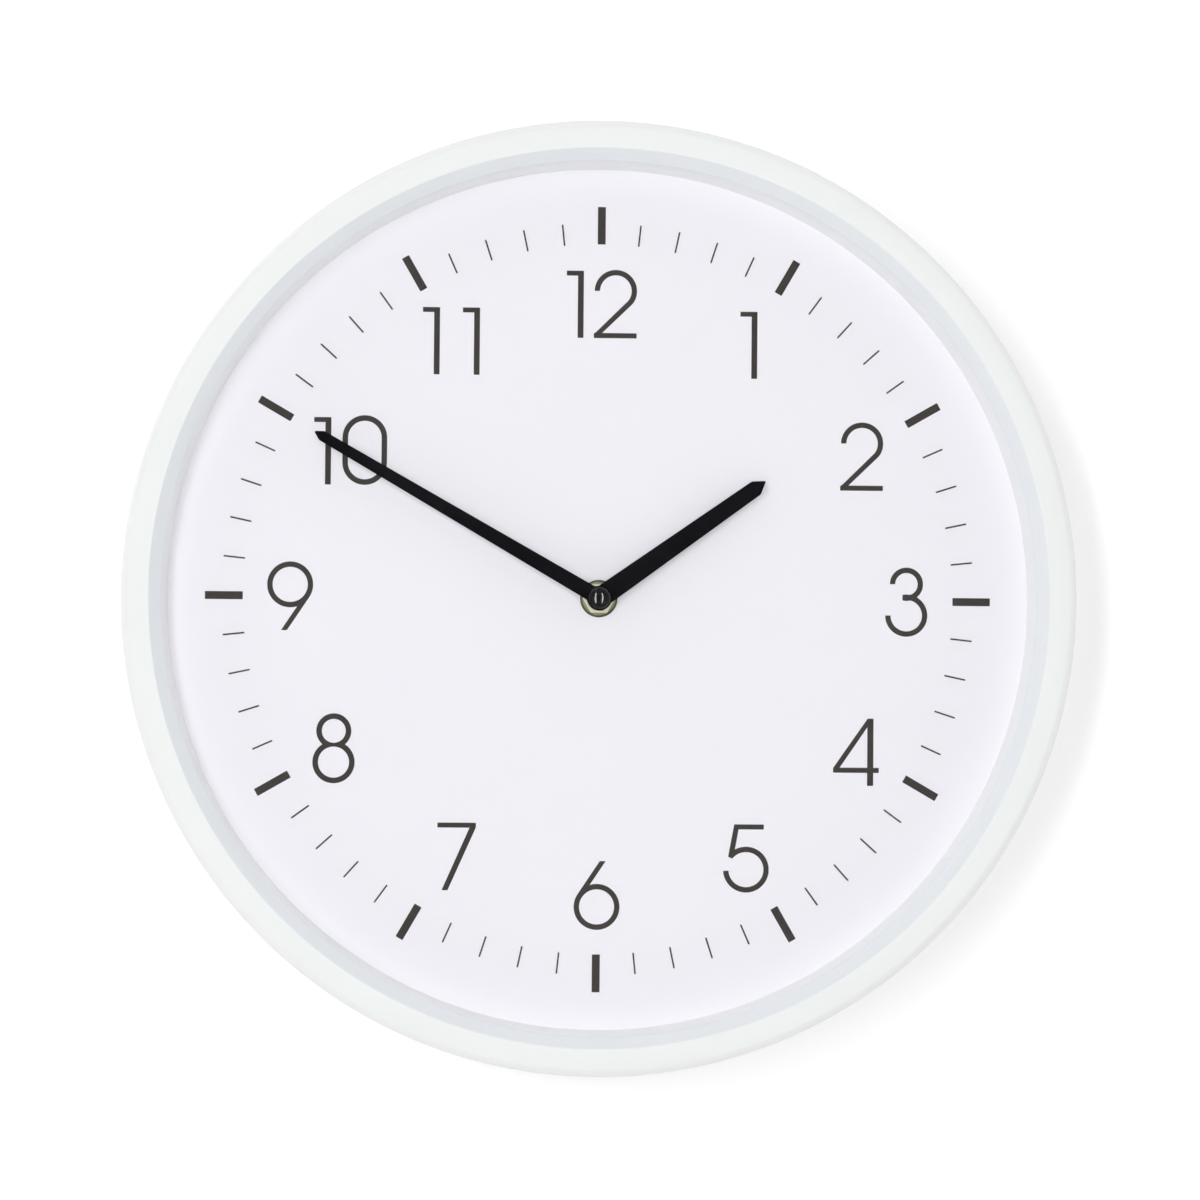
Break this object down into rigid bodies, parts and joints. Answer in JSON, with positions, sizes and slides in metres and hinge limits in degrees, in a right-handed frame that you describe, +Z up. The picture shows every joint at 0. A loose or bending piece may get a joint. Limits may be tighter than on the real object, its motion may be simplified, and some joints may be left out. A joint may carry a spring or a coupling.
{
  "type": "wall clock",
  "caption": "Round white quartz wall clock with a broad flat rim, glass front, slim black baton hands, thin numerals and a minute track, geared movement, battery and keyhole hanger behind.",
  "frame": {"origin": "on the axis of the hands, in the wall plane that the rear edge of the rim rests against", "axes": "+Z up towards the twelve, +Y into the wall, +X towards the three; the dial faces -Y"},
  "size_m": [0.3, 0.038, 0.3],
  "materials": {
    "case_white": "satin moulded plastic",
    "lens_glass": "clear flat glass",
    "spacer_white": "moulded plastic",
    "dial_face": "matt printed sheet",
    "dial_ink": "printed ink",
    "plate_white": "moulded plastic, fine texture",
    "zinc_steel": "zinc plated",
    "hand_black": "black lacquered sheet",
    "cap_black": "glossy",
    "washer_rubber": "soft rubber",
    "hub_brass": "dull pale plating",
    "bush_brass": "turned",
    "movement_black": "fine spark texture",
    "train_plate_grey": "moulded",
    "magnet_dark": "sintered",
    "gear_acetal": "natural acetal",
    "gear_amber": "tinted acetal",
    "arbor_brass": "turned",
    "knob_black": "moulded",
    "iron_plate": "stamped lamination",
    "bobbin_white": "moulded",
    "copper_wire": "enamelled copper wire",
    "board_green": "solder mask",
    "resin_black": "poured resin",
    "crystal_can": "drawn can",
    "cell_sleeve": "shrink sleeve over the can",
    "contact_steel": "nickel plated spring strip"
  },
  "bodies": {
    "case": {"bezel": "case_white", "lens": "lens_glass", "spacer_ring": "spacer_white", "dial": "dial_face", "numerals": "dial_ink", "minute_track": "dial_ink", "back_plate": "plate_white", "case_screws": "zinc_steel", "rubber_washer": "washer_rubber", "brass_washer": "hub_brass", "hex_nut": "hub_brass", "threaded_bush": "bush_brass", "movement_housing": "movement_black", "movement_front": "movement_black", "train_plate": "train_plate_grey", "stator": "iron_plate", "coil_core": "iron_plate", "coil_bobbin": "bobbin_white", "coil_winding": "copper_wire", "circuit_board": "board_green", "chip": "resin_black", "quartz_crystal": "crystal_can", "battery": "cell_sleeve", "contact_positive": "contact_steel", "contact_negative": "contact_steel"},
    "minute_group": {"minute_arbor": "arbor_brass", "centre_wheel": "gear_amber", "minute_hand": "hand_black", "hand_cap": "cap_black"},
    "hour_group": {"hour_wheel": "gear_amber", "hour_hand": "hand_black"},
    "motion_group": {"motion_wheel": "gear_acetal"},
    "knob_group": {"setting_knob": "knob_black"},
    "third_group": {"third_wheel": "gear_acetal"},
    "seconds_group": {"seconds_wheel": "gear_acetal"},
    "intermediate_group": {"intermediate_wheel": "gear_acetal"},
    "rotor_group": {"rotor_magnet": "magnet_dark", "rotor_pinion": "gear_acetal"}
  },
  "joints": [
    {"name": "minute_hand_turn", "type": "hinge", "parent": "case", "child": "minute_group", "pos_m": [0, -0.01, 0], "axis": [0, 1, 0], "continuous": true},
    {"name": "hour_hand_turn", "type": "hinge", "parent": "case", "child": "hour_group", "pos_m": [0, -0.01, 0], "axis": [0, 1, 0], "continuous": true},
    {"name": "motion_wheel_turn", "type": "hinge", "parent": "case", "child": "motion_group", "pos_m": [-0.00873, -0.01, 0.00504], "axis": [0, 1, 0], "continuous": true},
    {"name": "setting_knob_turn", "type": "hinge", "parent": "case", "child": "knob_group", "pos_m": [-0.01602, -0.01, 0.01373], "axis": [0, 1, 0], "continuous": true},
    {"name": "third_wheel_turn", "type": "hinge", "parent": "case", "child": "third_group", "pos_m": [-0.01087, -0.01, 0.00038], "axis": [0, 1, 0], "continuous": true},
    {"name": "seconds_wheel_turn", "type": "hinge", "parent": "case", "child": "seconds_group", "pos_m": [0, -0.01, 0], "axis": [0, 1, 0], "continuous": true},
    {"name": "intermediate_wheel_turn", "type": "hinge", "parent": "case", "child": "intermediate_group", "pos_m": [0.0056, -0.01, 0.0097], "axis": [0, 1, 0], "continuous": true},
    {"name": "rotor_turn", "type": "hinge", "parent": "case", "child": "rotor_group", "pos_m": [0.01191, -0.01, 0.012], "axis": [0, 1, 0], "continuous": true}
  ],
  "couplings": [
    {"joint": "hour_hand_turn", "follows": "minute_hand_turn", "ratio": 0.083333},
    {"joint": "motion_wheel_turn", "follows": "minute_hand_turn", "ratio": -0.33333},
    {"joint": "setting_knob_turn", "follows": "minute_hand_turn", "ratio": 0.66667},
    {"joint": "third_wheel_turn", "follows": "minute_hand_turn", "ratio": -8},
    {"joint": "seconds_wheel_turn", "follows": "minute_hand_turn", "ratio": 60},
    {"joint": "intermediate_wheel_turn", "follows": "minute_hand_turn", "ratio": -360},
    {"joint": "rotor_turn", "follows": "minute_hand_turn", "ratio": 1800}
  ]
}
